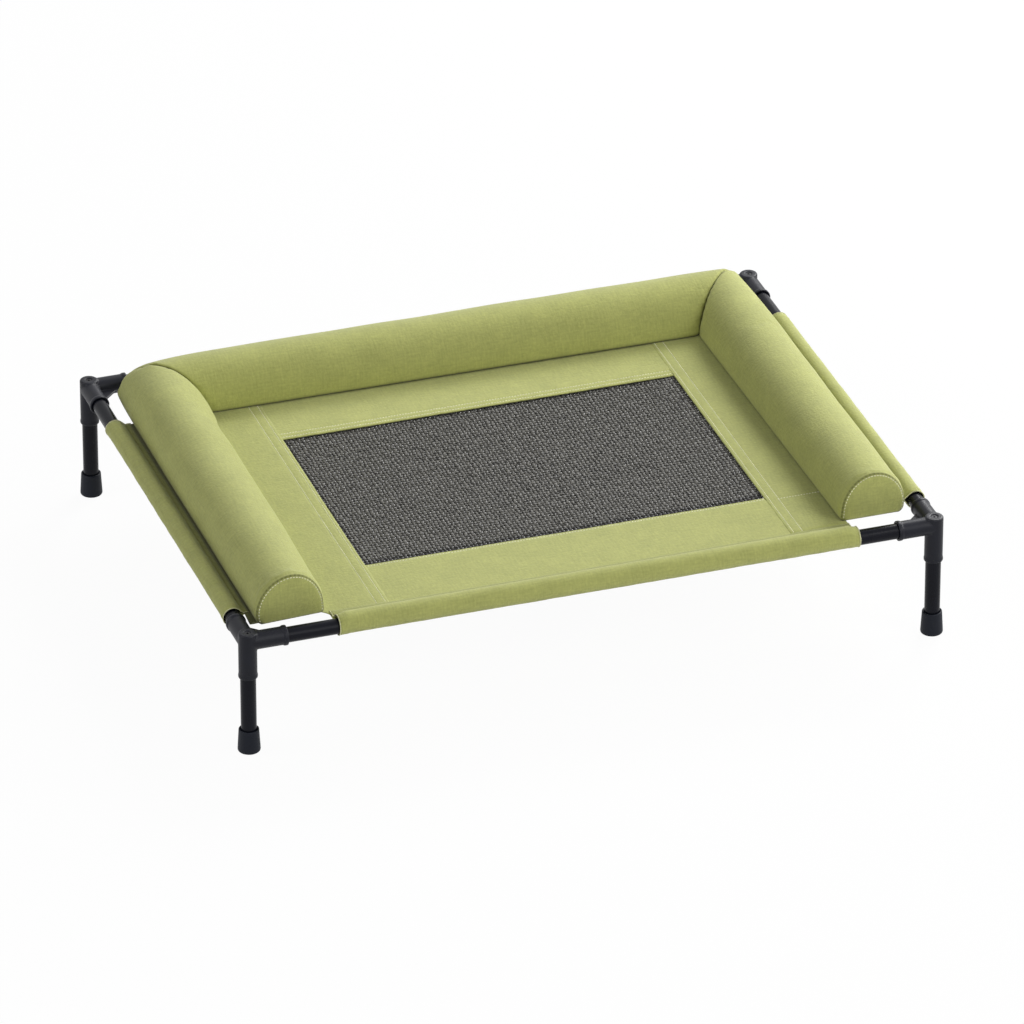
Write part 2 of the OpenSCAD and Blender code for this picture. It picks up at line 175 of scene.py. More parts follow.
# Unevenness of the cloth, so many to the metre: slubs across and along their yarn, nap and clouds
SLUBS_ACROSS = 420.0
SLUBS_ALONG = 45.0
NAP = 260.0
CLOUDS = 22.0
# How much slubs and nap, and clouds, count in the cloth's tone, and how far that spreads
SLUB_TONE = 0.26
CLOUD_TONE = 0.22
CLOTH_SPREAD = 0.14
# How much the nap counts in the cloth's height beside the crossings of its yarns, and how deep that is
NAP_HEIGHT = 1.4
CLOTH_DEPTH = 0.0006


def woven_cloth(name, colour):
    """Plain-woven cloth with a soft nap and uneven yarns, on the piece's own unrolled map."""
    material, tree, surface = new_finish(
        name, colour, roughness=0.8, Sheen_Weight=0.25, Sheen_Roughness=0.5, Specular_IOR_Level=0.3
    )
    place = add_node(tree, "UVMap", uv_map="cloth").outputs[0]
    slubs = math_node(
        tree,
        "ADD",
        streaks(tree, place, SLUBS_ACROSS, SLUBS_ALONG),
        streaks(tree, place, SLUBS_ALONG, SLUBS_ACROSS),
    )
    nap = streaks(tree, place, NAP, NAP, detail=3.0)
    clouds = streaks(tree, place, CLOUDS, CLOUDS, detail=4.0)
    fac = math_node(
        tree,
        "ADD",
        math_node(tree, "MULTIPLY", math_node(tree, "ADD", slubs, nap), SLUB_TONE),
        math_node(tree, "MULTIPLY", clouds, CLOUD_TONE),
    )
    tone = tint(tree, fac, colour, CLOTH_SPREAD, lowest=0.38, highest=0.62)
    # The seam mark paints shade into the colour: dark lines at seams and creases and where the bolsters
    # meet the panels
    seam = add_node(tree, "Attribute", attribute_name="seam").outputs["Fac"]
    mix = add_node(tree, "Mix", {0: seam, 6: tone, 7: (*shade(colour, PAINTED_SEAM_SHADE), 1)}, data_type="RGBA")
    tree.links.new(mix.outputs[2], surface.inputs["Base Color"])
    yarns = []
    for direction in ("X", "Y"):
        wave = add_node(
            tree,
            "TexWave",
            {"Vector": place, "Scale": WAVE_LENGTH / (2 * YARN_PITCH)},
            bands_direction=direction,
        )
        yarns.append(math_node(tree, "SUBTRACT", wave.outputs["Fac"], 0.5))
    crossings = math_node(tree, "MULTIPLY", yarns[0], yarns[1])
    height = math_node(tree, "ADD", crossings, math_node(tree, "MULTIPLY", nap, NAP_HEIGHT))
    raise_by(tree, surface, height, CLOTH_DEPTH, strength=0.7)
    return material


# A grained surface: how much broader its patches are than its grain, how far its colour spreads, and
# how much smoother and rougher it gets from patch to patch
PATCH_BROAD = 40
GRAIN_SPREAD = 0.16
SMOOTHER = 0.06
ROUGHER = 0.08


def grained(name, colour, roughness, grain, depth, **sockets):
    """A moulded, coated or spun surface with a fine even grain, so many to the metre."""
    material, tree, surface = new_finish(name, colour, roughness, **sockets)
    place = add_node(tree, "TexCoord").outputs["Object"]
    fine = add_node(tree, "TexNoise", {"Vector": place, "Scale": grain, "Detail": 3.0}).outputs["Fac"]
    patches = {"Vector": place, "Scale": grain / PATCH_BROAD, "Detail": 2.0}
    broad = add_node(tree, "TexNoise", patches).outputs["Fac"]
    tone = tint(tree, broad, colour, GRAIN_SPREAD, lowest=0.3, highest=0.7)
    tree.links.new(tone, surface.inputs["Base Color"])
    rough = add_node(
        tree,
        "MapRange",
        {"Value": broad, "To Min": roughness - SMOOTHER, "To Max": roughness + ROUGHER},
    )
    tree.links.new(rough.outputs[0], surface.inputs["Roughness"])
    raise_by(tree, surface, fine, depth, strength=0.5)
    return material


# Patches of the net's painted highlight on its crowns: so many to the metre, none below the first noise
# value and most above the second
GLINT_PATCH_SCALE = 330.0
GLINT_FROM = 0.36
GLINT_TO = 0.64
GLINT_MOST = 2.0


def net_yarn(name, hollow_shade, crown, roughness):
    """Coated yarn, painted paler on its crowns as a highlight and dark in its hollows as shade; the crowns
    carry a mark of their own.
    """
    material, tree, surface = new_finish(name, crown, roughness, Specular_IOR_Level=0.15)
    place = add_node(tree, "TexCoord").outputs["Object"]
    mark = add_node(tree, "Attribute", attribute_name="crown").outputs["Fac"]
    patches = {"Vector": place, "Scale": GLINT_PATCH_SCALE, "Detail": 2.0}
    patchy = add_node(tree, "TexNoise", patches).outputs["Fac"]
    glint_patches = add_node(
        tree,
        "MapRange",
        {"Value": patchy, "From Min": GLINT_FROM, "From Max": GLINT_TO, "To Min": 0.0, "To Max": GLINT_MOST},
    )
    # The crowns' painted highlight, stronger in some patches than in others
    share = math_node(tree, "MULTIPLY", mark, glint_patches.outputs[0])
    tones = {0: share, 6: (*hollow_shade, 1), 7: (*crown, 1)}
    mix = add_node(tree, "Mix", tones, data_type="RGBA", clamp_factor=True)
    tree.links.new(mix.outputs[2], surface.inputs["Base Color"])
    return material


GREEN = woven_cloth("olive_canvas", CLOTH_GREEN)
CUT_EDGE = grained("cut_edge", (0.62, 0.62, 0.36), roughness=0.8, grain=1500.0, depth=0.0001)
THREAD = grained("pale_thread", (0.86, 0.86, 0.62), roughness=0.7, grain=1500.0, depth=0.0001)
FITTING = grained(
    "fitting_plastic", (0.0060, 0.0068, 0.0120),
    roughness=0.42, grain=1400.0, depth=0.0001, Specular_IOR_Level=0.22
)
RUBBER = grained(
    "foot_rubber", (0.0052, 0.0072, 0.0130),
    roughness=0.55, grain=900.0, depth=0.00015, Specular_IOR_Level=0.2
)
COATED = grained(
    "coated_steel", (0.0042, 0.0048, 0.0088),
    roughness=0.26, grain=700.0, depth=0.00004, Specular_IOR_Level=0.13
)
STEEL = grained(
    "blackened_steel", (0.03, 0.03, 0.033),
    roughness=0.38, grain=2000.0, depth=0.00004, Metallic=0.9
)
NYLON = grained("plug_nylon", (0.05, 0.05, 0.053), roughness=0.5, grain=1200.0, depth=0.0001)
NET_YARN = net_yarn(
    "net_yarn", hollow_shade=(0.011, 0.0106, 0.0097), crown=(0.155, 0.150, 0.135), roughness=0.42
)


# Making pieces


def piece(name, bm, material, slot, *replaced):
    """A finished piece that rides on the frame and stands for the CAD nodes it replaces."""
    mesh = bpy.data.meshes.new(name)
    bm.to_mesh(mesh)
    bm.free()
    mesh.materials.append(material)
    mesh.polygons.foreach_set("use_smooth", [True] * len(mesh.polygons))
    made = bpy.data.objects.new(name, mesh)
    bpy.context.scene.collection.objects.link(made)
    if replaced:
        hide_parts(*replaced)
    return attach(made, "root")


def cloth_grid(columns, rows, place, unroll, **marks):
    """A grid of cloth: place gives each crossing's point, and unroll its spot on the flat cloth
    as seen from a face, whose first row is the third value. Marks are values kept on the points."""
    bm = bmesh.new()
    uv = bm.loops.layers.uv.new("cloth")
    layers = {mark: bm.verts.layers.float.new(mark) for mark in marks}
    bmesh.ops.create_grid(bm, x_segments=columns, y_segments=rows, size=0.5)
    spots = {v: (round((v.co.x + 0.5) * columns), round((v.co.y + 0.5) * rows)) for v in bm.verts}
    for face in bm.faces:
        face_row = min(spots[v][1] for v in face.verts)
        for loop in face.loops:
            loop[uv].uv = unroll(*spots[loop.vert], face_row)
    for v, spot in spots.items():
        v.co = place(*spot)
        for mark, worth in marks.items():
            v[layers[mark]] = worth(*spot)
    return bm


def as_mesh(bm):
    """A plain mesh to add to others."""
    mesh = bpy.data.meshes.new("part")
    bm.to_mesh(mesh)
    bm.free()
    return mesh


def add_mesh(bm, mesh):
    """Adds a mesh to another and drops it."""
    bm.from_mesh(mesh)
    bpy.data.meshes.remove(mesh)


def close_tube(bm, sides):
    """Joins a grid that is bent into a tube along its seam, and closes its ends."""
    bmesh.ops.remove_doubles(bm, verts=bm.verts, dist=1e-6)
    bmesh.ops.holes_fill(bm, edges=[e for e in bm.edges if e.is_boundary], sides=sides)
    bmesh.ops.recalc_face_normals(bm, faces=bm.faces)


def no_map(column, row, face_row):
    """For a piece whose finish needs no unrolled map."""
    return 0, 0


def thicken(made, thickness):
    """Gives a sheet its thickness, behind the modelled face."""
    wall = made.modifiers.new("thickness", "SOLIDIFY")
    wall.thickness = thickness
    wall.offset = -1
    return made


def face_away(bm, inside):
    """Turns an open sheet's faces to look away from inside(point)."""
    bm.normal_update()
    wrong = 0
    for face in bm.faces:
        middle = face.calc_center_median()
        wrong += face.normal.dot(middle - inside(middle)) < 0
    if wrong > len(bm.faces) / 2:
        bmesh.ops.reverse_faces(bm, faces=bm.faces)
    return bm


# Corner fittings and feet: moulded pieces with soft edges and blended inside corners

MOULD_VOXEL = 0.0009
FITTING_ROUNDS = 4
FOOT_ROUNDS = 3


def moulded(node, rounds, material, slot):
    """A CAD node made over as one even skin, smoothed in so many rounds."""
    bm = bmesh.new()
    bm.from_mesh(nodes[node].data)
    bmesh.ops.remove_doubles(bm, verts=bm.verts, dist=1e-6)
    made = piece(node + "_moulded", bm, material, slot, node)
    remesh = made.modifiers.new("soft_edges", "REMESH")
    remesh.mode = "VOXEL"
    remesh.voxel_size = MOULD_VOXEL
    shape = bpy.data.meshes.new_from_object(made.evaluated_get(bpy.context.evaluated_depsgraph_get()))
    made.modifiers.clear()
    bm = bmesh.new()
    bm.from_mesh(shape)
    bpy.data.meshes.remove(shape)
    for _ in range(rounds):
        bmesh.ops.smooth_vert(
            bm, verts=bm.verts, factor=0.5, use_axis_x=True, use_axis_y=True, use_axis_z=True
        )
    bm.to_mesh(made.data)
    bm.free()
    made.data.polygons.foreach_set("use_smooth", [True] * len(made.data.polygons))
    return made


for corner in CORNERS:
    moulded("corner_" + corner, FITTING_ROUNDS, FITTING, "fitting")
    moulded("foot_" + corner, FOOT_ROUNDS, RUBBER, "foot")


# Sheet: how the taut cloth lies

SAG = 0.0012
WAVE = 0.0009
WAVE_SCALE = 9.0
# Each unevenness reads a layer of the noise of its own
WAVE_LAYER = 0.4
PUCKER_LAYER = 2.1
WANDER_LAYERS = (5.3, 8.7)


def sheet_wave(x, y):
    """How far the sheet lies above flat: a slight sag and soft waves, dying out at its edges."""
    middle_y = (BED_REAR - LONG_SEAM) / 2
    half_y = (BED_REAR + LONG_SEAM) / 2
    inside_x = max(0.0, 1 - (x / BED_X) ** 2)
    inside_y = max(0.0, 1 - ((y - middle_y) / half_y) ** 2)
    wave = noise.noise(Vector((x * WAVE_SCALE, y * WAVE_SCALE, WAVE_LAYER)))
    return inside_x * inside_y * (WAVE * wave - SAG)


# Distances of the stitch rows from the window's edge, and the groove and puckers that they pull in
SIDE_ROWS = (0.0052, 0.0180)
REAR_ROWS = (0.0055, 0.0150)
FRONT_ROWS = (0.0050,)
GROOVE = 0.0005
GROOVE_WIDTH = 0.0022
PUCKER = 0.00035
PUCKER_REACH = 0.009
PUCKER_SCALE = 85.0
PUCKER_ROW_SCALE = 100
# The window's edge is folded under: how far it rounds down, and over what width
FOLD = 0.00105
FOLD_WIDTH = 0.003
# A seam across the right panel, a little in front of the window
CROSS_SEAM_Y = WINDOW_FRONT - 0.011


def stitched(distance, along, rows):
    """How a panel lies beside its stitch rows, at a distance from the window's edge."""
    level = -FOLD * (1 - smooth(distance / FOLD_WIDTH))
    for row in rows:
        off = distance - row
        level -= GROOVE * math.exp(-((off / GROOVE_WIDTH) ** 2))
        pull = noise.noise(Vector((along * PUCKER_SCALE, row * PUCKER_ROW_SCALE, PUCKER_LAYER)))
        level += PUCKER * pull * math.exp(-abs(off) / PUCKER_REACH)
    return level


def window_side(side):
    """Where the window's left or right edge lies."""
    return WINDOW_RIGHT if side > 0 else WINDOW_LEFT


def side_panel_top(side, x, y):
    """The level of a side panel's upper face; the left one droops past its sleeve's front end."""
    level = SIDE_TOP + sheet_wave(x, y) + stitched(side * (x - window_side(side)), y, SIDE_ROWS)
    if side > 0:
        level -= GROOVE * math.exp(-(((y - CROSS_SEAM_Y) / GROOVE_WIDTH) ** 2))
    else:
        past_sleeve = smooth((GAP_Y[-1] - LEG_Y - y) / LEFT_FLAP)
        level -= FLAP_DROOP * past_sleeve * smooth((-x - BOLSTER_X - BOLSTER_A + FLAP_RUN) / FLAP_RUN)
    return level


def long_panel_top(side, x, y):
    """The level of the front or rear panel's upper face."""
    edge, rows = (WINDOW_REAR, REAR_ROWS) if side > 0 else (WINDOW_FRONT, FRONT_ROWS)
    return LONG_TOP + sheet_wave(x, y) + stitched(side * (y - edge), x, rows)


# Panels: cloth round the window, fine-meshed along the stitch rows

PANEL_PITCH = 0.0045
STITCH_ZONE = 0.026
FINE_PITCH = 0.0013
# Corner cut-outs: their rounding at the front and rear, in how many steps, and the last hair's breadth
NOTCH_ROUND = {-1: 0.025, 1: 0.090}
NOTCH_STEPS = 12
HAIR = 0.0002
# How far the left panel runs on past its sleeve's front end, hangs down there, and over what width
LEFT_FLAP = 0.027
FLAP_DROOP = 0.003
FLAP_RUN = 0.012
# The strip of a side panel between its bolster and its sleeve is painted darker, as the shade of their
# crease
STRIP_WIDE = 0.016
STRIP_FADE = 0.006
STRIP_PAINTED_SHADE = 0.85


def notch_rows(side, side_y):
    """(distance from the middle, how far out the panel reaches) round one cut-out, from its edge in."""
    reach_y = GAP_Y[side_y]
    if side < 0 and side_y < 0:
        reach_y -= LEFT_FLAP
    rounding = NOTCH_ROUND[side_y]
    straight = LEG_Y - reach_y
    inner = LEG_X - GAP_X[side]
    first = math.asin(max(0.0, 1 - (LONG_EDGE - straight) / rounding))
    rows = [(LONG_EDGE, inner)] if straight + rounding < LONG_EDGE else []
    for turn in steps(first, math.pi / 2, (math.pi / 2 - first) / NOTCH_STEPS):
        rows.append((straight + rounding * (1 - math.sin(turn)), inner + rounding * (1 - math.cos(turn))))
    return rows + [(straight - HAIR, SIDE_EDGE)]


def side_panel_rows(side):
    """(y, how far out the panel reaches) from front to rear, round both corner cut-outs."""
    front = [(-y, reach) for y, reach in notch_rows(side, -1)]
    rear = notch_rows(side, 1)
    middle = steps(front[-1][0], rear[-1][0], PANEL_PITCH)[1:-1]
    return front + [(y, SIDE_EDGE) for y in middle] + rear[::-1]


def side_panel(side):
    """The left or right panel, from the window's edge out to the side seam."""
    edge = window_side(side)
    near = steps(0, STITCH_ZONE, FINE_PITCH)
    wide = steps(0, 1, PANEL_PITCH / (SIDE_EDGE - side * edge - STITCH_ZONE))[1:]
    rows = side_panel_rows(side)

    def spot(column, row):
        y, reach = rows[row]
        if column < len(near):
            return edge + side * near[column], y
        return lerp(edge + side * STITCH_ZONE, side * reach, wide[column - len(near)]), y

    def place(column, row):
        x, y = spot(column, row)
        return Vector((x, y, side_panel_top(side, x, y)))

    def unroll(column, row, face_row):
        return spot(column, row)

    # Painted shade on the strip beside the bolster
    def seam(column, row):
        x, y = spot(column, row)
        beside = smooth((side * x - BOLSTER_X - BOLSTER_A + STRIP_WIDE) / STRIP_FADE)
        return STRIP_PAINTED_SHADE * beside * smooth((y - BOLSTER_FRONT) / STRIP_FADE)

    name = "right_panel" if side > 0 else "left_panel"
    bm = cloth_grid(len(near) + len(wide) - 1, len(rows) - 1, place, unroll, seam=seam)
    face_away(bm, lambda p: p - Vector((0, 0, 1)))
    made = thicken(piece(name + "_cloth", bm, GREEN, "cloth", name), CLOTH_T)


def long_panel(side):
    """The front or rear panel, from the window's edge out to the long seam."""
    name = "rear_panel" if side > 0 else "front_panel"
    edge = WINDOW_REAR if side > 0 else WINDOW_FRONT
    ys = [edge + side * step for step in steps(0, STITCH_ZONE, FINE_PITCH)]
    ys += steps(ys[-1], side * LONG_EDGE, PANEL_PITCH)[1:]
    xs = steps(low(name).x, high(name).x, PANEL_PITCH)

    def place(column, row):
        return Vector((xs[column], ys[row], long_panel_top(side, xs[column], ys[row])))

    def unroll(column, row, face_row):
        return ys[row], xs[column]

    bm = cloth_grid(len(xs) - 1, len(ys) - 1, place, unroll)
    face_away(bm, lambda p: p - Vector((0, 0, 1)))
    made = thicken(piece(name + "_cloth", bm, GREEN, "cloth", name), CLOTH_T)


for side in (-1, 1):
    long_panel(side)
    side_panel(side)


# Net: long and cross strands of coated yarn, woven one over and one under

NET_PITCH_X = 0.0057
NET_PITCH_Y = 0.0063
STRAND_WIDE_LONG = 0.0050
STRAND_WIDE_CROSS = 0.0049
STRAND_THICK = 0.0019
STRAND_SIDES = 6
WEAVE_RISE = 0.0010
# The net hangs lower inside the window than at its sewn edge
NET_SINK = 0.0036
NET_SINK_WIDTH = 0.012
NET_SIDE_SINK = 0.0018
NET_SIDE_WIDTH = 0.070
# Its strands wander a little from their straight lines
NET_WANDER = 0.0022
NET_WANDER_SCALE = 105.0
# Its yarns' painted highlight is taken out beside the front and left hems, as painted shade there: how
# much is left there, how far in, and over what width it ends
NET_HEM_GLINT = 0.05
NET_FRONT_IN = 0.0132
NET_LEFT_IN = 0.0030
NET_HEM_SHADE_RUN = 0.0045
NET_LOW, NET_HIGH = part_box("net_panel")
NET_Z = (NET_LOW.z + NET_HIGH.z) / 2 - WEAVE_RISE / 2
NET_COLUMNS = round((NET_HIGH.x - NET_LOW.x) / NET_PITCH_X)
NET_ROWS = round((NET_HIGH.y - NET_LOW.y) / NET_PITCH_Y)


def net_level(x, y):
    """The level of the net's middle."""
    to_side = min(x - NET_LOW.x, NET_HIGH.x - x)
    edge = min(to_side, y - NET_LOW.y, NET_HIGH.y - y)
    sink = lerp(NET_SIDE_SINK, NET_SINK, smooth(to_side / NET_SIDE_WIDTH))
    return NET_Z - sink * smooth(edge / NET_SINK_WIDTH) + sheet_wave(x, y)


def strand(length, crossings, wide, first_up):
    """One strand along X from the origin, bent over and under at each crossing."""
    stations = 2 * crossings

    def bend(column):
        return math.sin(math.pi * column / 2) * (1 if first_up else -1)

    def place(column, row):
        turn = 2 * math.pi * row / STRAND_SIDES
        return Vector((
            length * column / stations,
            wide / 2 * math.cos(turn),
            WEAVE_RISE * bend(column) + STRAND_THICK / 2 * math.sin(turn),
        ))

    # Painted highlight and shade: most on the upper side where the yarn crosses over, none underneath or
    # where it dips
    def crown(column, row):
        return smooth((bend(column) + math.sin(2 * math.pi * row / STRAND_SIDES)) / 2)

    bm = cloth_grid(stations, STRAND_SIDES, place, no_map, crown=crown)
    close_tube(bm, STRAND_SIDES)
    return as_mesh(bm)


def strands(along_x):
    """All the strands that run one way, laid side by side."""
    length, breadth = NET_HIGH.x - NET_LOW.x, NET_HIGH.y - NET_LOW.y
    crossings, count, wide = NET_COLUMNS, NET_ROWS, STRAND_WIDE_LONG
    if not along_x:
        length, breadth = breadth, length
        crossings, count, wide = NET_ROWS, NET_COLUMNS, STRAND_WIDE_CROSS
    bm = bmesh.new()
    for number in range(count):
        up = number % 2 == (0 if along_x else 1)
        mesh = strand(length, crossings, wide, up)
        mesh.transform(Matrix.Translation((0, breadth * (number + 0.5) / count, 0)))
        add_mesh(bm, mesh)
    crown = bm.verts.layers.float["crown"]
    for v in bm.verts:
        x, y = (v.co.x, v.co.y) if along_x else (v.co.y, v.co.x)
        x += NET_LOW.x
        y += NET_LOW.y
        # Painted shade beside the front and left hems: the crowns' highlight is taken out there
        inside = min(x - WINDOW_LEFT - NET_LEFT_IN, y - WINDOW_FRONT - NET_FRONT_IN)
        v[crown] *= lerp(NET_HEM_GLINT, 1, smooth(inside / NET_HEM_SHADE_RUN))
        spot = NET_WANDER_SCALE * Vector((x, y, 0))
        x += NET_WANDER * noise.noise(spot + Vector((0, 0, WANDER_LAYERS[0])))
        y += NET_WANDER * noise.noise(spot + Vector((0, 0, WANDER_LAYERS[1])))
        v.co = Vector((x, y, net_level(x, y) + v.co.z))
    if not along_x:
        bmesh.ops.reverse_faces(bm, faces=bm.faces)
    return bm


cross_strands = piece("net_cross_strands", strands(False), NET_YARN, "net", "net_panel")
long_strands = piece("net_long_strands", strands(True), NET_YARN, "net", "net_panel")


# Sleeves: cloth round a rail, its two tails sewn to the sheet's edge

SLEEVE_ARC = 30
SLEEVE_PITCH = 0.004
# How far the upper tail lies flat before it rises, and the crease where it does
LONG_LAP = 0.016
SIDE_LAP = 0.008
CREASE_SINK = 0.0008
CREASE_WIDE = 0.0015
SEAM_ROUND = 0.0009
# How much shade is painted into that crease, from column to column
LONG_CREASE_SHADE = (0.2, 0.2, 0.2, 0.25, 0.4, 0.1)
SIDE_CREASE_SHADE = (0.80, 0.70, 0.50, 0.30, 0.20, 0.10, 0.03)
# Over what length a long sleeve's tail steps up onto a side panel
TAIL_RUN = 0.012
# How much wider than the rail a sleeve is and which way it stands off, and how it closes up at its ends
LONG_SLACK = (0.0034, math.radians(60))
SIDE_SLACK = {-1: (0.0012, math.radians(30)), 1: (0.0011, math.radians(150))}
END_SLACK = 0.5
END_SLACK_RUN = 0.015
# How far the right sleeve's front end is set back from where the CAD has it
RIGHT_SET_BACK = 0.005
# Hems at a sleeve's ends, and soft rumples and finer ones, so many to the metre along and round it
HEM = 0.013
HEM_STEP = 0.001
HEM_RISE = 0.0005
RUMPLE = 0.0005
RUMPLE_SCALE = (38, 30)
FINE_RUMPLE_SCALE = (130, 9)


def tangent_turn(point, radius, side):
    """The angle at which a line from a point touches a circle round the origin."""
    reach = math.hypot(*point)
    return math.atan2(point[1], point[0]) + side * math.acos(radius / reach)


def sleeve_path(seam_in, lap, under_z, over_z, slack, lean):
    """A sleeve's outer face as (towards the sheet, up), from its upper seam round the rail."""
    radius = SLEEVE_R + slack
    middle = Vector((math.cos(lean), math.sin(lean))) * slack
    over, under = Vector((seam_in - lap, over_z - CREASE_SINK)), Vector((seam_in - lap, under_z))
    first = tangent_turn(over - middle, radius, 1)
    last = 2 * math.pi + tangent_turn(under - middle, radius, -1)
    arc = []
    for turn in steps(first, last, (last - first) / SLEEVE_ARC):
        arc.append(middle + radius * Vector((math.cos(turn), math.sin(turn))))
    rise = over.lerp(arc[0], CREASE_WIDE / (arc[0] - over).length)
    path = [(seam_in, over_z - SEAM_ROUND), (seam_in - SEAM_ROUND, over_z - SEAM_ROUND / 4)]
    path += [(seam_in - 3 * SEAM_ROUND, over_z), (over.x + CREASE_WIDE, over_z), over, rise]
    return path + arc + [under, (seam_in, under_z)]


def path_lengths(path):
    """How far each point of a path lies along it."""
    lengths = [0.0]
    for a, b in zip(path, path[1:]):
        lengths.append(lengths[-1] + math.dist(a, b))
    return lengths


# The paths of the sleeves' ends, with the way that each sleeve runs
sleeve_ends = []


def sleeve(name, first, last, seam_in, lap, under_z, over_at, room, crease_shade, at_point):
    """A sleeve on its rails from first to last; over_at gives its upper tail's level along it, room its
    slack and lean, and at_point the place for a distance along it and two across."""
    alongs = steps(first, last, SLEEVE_PITCH)
    lengths = path_lengths(sleeve_path(seam_in, lap, under_z, over_at(first), *room))

    def place(column, row):
        along = alongs[row]
        end = min(along - alongs[0], alongs[-1] - along)
        slack = room[0] * lerp(END_SLACK, 1, smooth(end / END_SLACK_RUN))
        path = sleeve_path(seam_in, lap, under_z, over_at(along), slack, room[1])
        out, up = path[column]
        loose = 0.0
        for size, scale in ((RUMPLE, RUMPLE_SCALE), (RUMPLE / 2, FINE_RUMPLE_SCALE)):
            spot = Vector((along * scale[0], lengths[column] * scale[1], seam_in))
            loose += size * noise.noise(spot)
        loose += HEM_RISE * (1 - smooth((end - HEM + HEM_STEP) / (2 * HEM_STEP)))
        free = math.sin(math.pi * column / (len(path) - 1)) ** 0.5
        reach = math.hypot(out, up)
        return at_point(along, out + out / reach * loose * free, up + up / reach * loose * free)

    def unroll(column, row, face_row):
        return lengths[column], alongs[row]

    # Painted shade along the crease of the upper tail
    def seam(column, row):
        return crease_shade[column] if column < len(crease_shade) else 0.0

    bm = cloth_grid(len(lengths) - 1, len(alongs) - 1, place, unroll, seam=seam)
    axis = (at_point(1, 0, 0) - at_point(0, 0, 0)).normalized()
    face_away(bm, lambda p: at_point(p.dot(axis), 0, 0))
    made = thicken(piece(name + "_cloth", bm, GREEN, "cloth", name), CLOTH_T)
    for row in (0, len(alongs) - 1):
        sleeve_ends.append(([place(column, row) for column in range(len(lengths))], axis))


def long_tail(x):
    """Level of a long sleeve's upper tail: lower where it lies on a long panel only."""
    on_side = smooth((WINDOW_LEFT - x) / TAIL_RUN) + smooth((x - WINDOW_RIGHT) / TAIL_RUN)
    return lerp(LONG_TOP, SIDE_TOP, on_side) + CLOTH_T - RAIL_Z


for side in (-1, 1):
    sleeve(
        "rear_sleeve" if side > 0 else "front_sleeve",
        first=GAP_X[-1] - LEG_X,
        last=LEG_X - GAP_X[1],
        seam_in=LEG_Y - LONG_SEAM,
        lap=LONG_LAP,
        under_z=LONG_TOP - 2 * CLOTH_T - RAIL_Z,
        over_at=long_tail,
        room=LONG_SLACK,
        crease_shade=LONG_CREASE_SHADE,
        at_point=lambda along, out, up, side=side: Vector((along, side * (LEG_Y - out), RAIL_Z + up)),
    )
    sleeve(
        "right_sleeve" if side > 0 else "left_sleeve",
        first=GAP_Y[-1] - LEG_Y + (RIGHT_SET_BACK if side > 0 else 0.0),
        last=LEG_Y - GAP_Y[1],
        seam_in=LEG_X - SIDE_SEAM,
        lap=SIDE_LAP,
        under_z=SIDE_TOP - 2 * CLOTH_T - RAIL_Z,
        over_at=lambda along: SIDE_TOP + CLOTH_T - RAIL_Z,
        room=SIDE_SLACK[side],
        crease_shade=SIDE_CREASE_SHADE,
        at_point=lambda along, out, up, side=side: Vector((side * (LEG_X - out), along, RAIL_Z + up)),
    )


# Bolsters: stuffed covers with mitred rear corners and sewn-in front ends

# Mesh of a cover: steps over its arch, half its base's columns, steps along it, and the turn in which
# the arch is drawn first
ARCH_PITCH = 0.0024
BASE_HALF = 6
BOLSTER_PITCH = 0.0055
ARCH_TURN = 0.002
# Columns lie closer together at the foot, and rows next to a seam
FOOT_COLUMNS = (0.0, 0.0008, 0.0018, 0.0030, 0.0046)
SEAM_ROWS = (0.0, 0.0010, 0.0020, 0.0030, 0.0045, 0.0065, 0.0090, 0.0125)
# How far a cover is drawn in at a mitre seam and at its front seam, and over what length
MITRE_DRAW = 0.0020
MITRE_LENGTH = 0.0035
MITRE_SINK = 0.0070
SINK_LENGTH = 0.0009
FRONT_DRAW = 0.0020
FRONT_LENGTH = 0.0012
# How much lower the crest runs towards the mitres by side, and over what length
MITRE_DIP = {-1: 0.0040, 1: 0.0015}
DIP_LENGTH = 0.040
# Mitred ends: the air between two covers, and the rings and middle's height of their mesh
MITRE_GAP = 0.0003
MITRE_RINGS = (0.0, 0.6)
MITRE_MIDDLE = 0.5
# Sewn-in front ends: the rings and middle's height of their mesh, and how far and how flat they bulge
END_RINGS = (0.0, 0.25, 0.5, 0.7, 0.83, 0.9, 0.945, 0.98)
END_MIDDLE = 0.4
END_BULGE = 0.0036
END_POWER = 12
# Their places by side: how far back from where the CAD has them, and how much more on the outer side
FRONT_SHIFT = {-1: -0.0045, 1: 0.0060}
FRONT_SLANT = {-1: -0.0030, 1: 0.0}
# Beside a front seam: rows of mesh that are sewn down, and the groove behind it with its puckers
WELT_ROWS = 3
WELT_GROOVE = 0.0006
WELT_BACK = 0.0040
WELT_WIDE = 0.0014
WELT_PUCKER = 0.0006
WELT_TURN = 2.3
# How much shade is painted at the seams, row by row from each of them, how patchy the front one's is, and
# how much along the foot on its outer and bed sides, where the cover meets the panel, column by column
# upwards
FRONT_SEAM_SHADE = {-1: 0.35, 0: 0.95, 1: 0.55, 2: 0.1}
BASE_SEAM_SHADE = {-1: 0.9, -2: 0.8, -3: 0.2}
MITRE_SEAM_SHADE = {0: 1.0, 1: 0.3}
LEFT_MITRE_SEAM_SHADE = {0: 1.0, 1: 1.0, 2: 0.8, 3: 0.4, 4: 0.1}
SEAM_SHADE_PATCH = 0.25
OUTER_FOOT_SHADE = (1.0, 1.0, 1.0, 1.0, 0.8, 0.5, 0.2)
BED_FOOT_SHADE = (1.0, 1.0, 0.85, 0.5, 0.15)
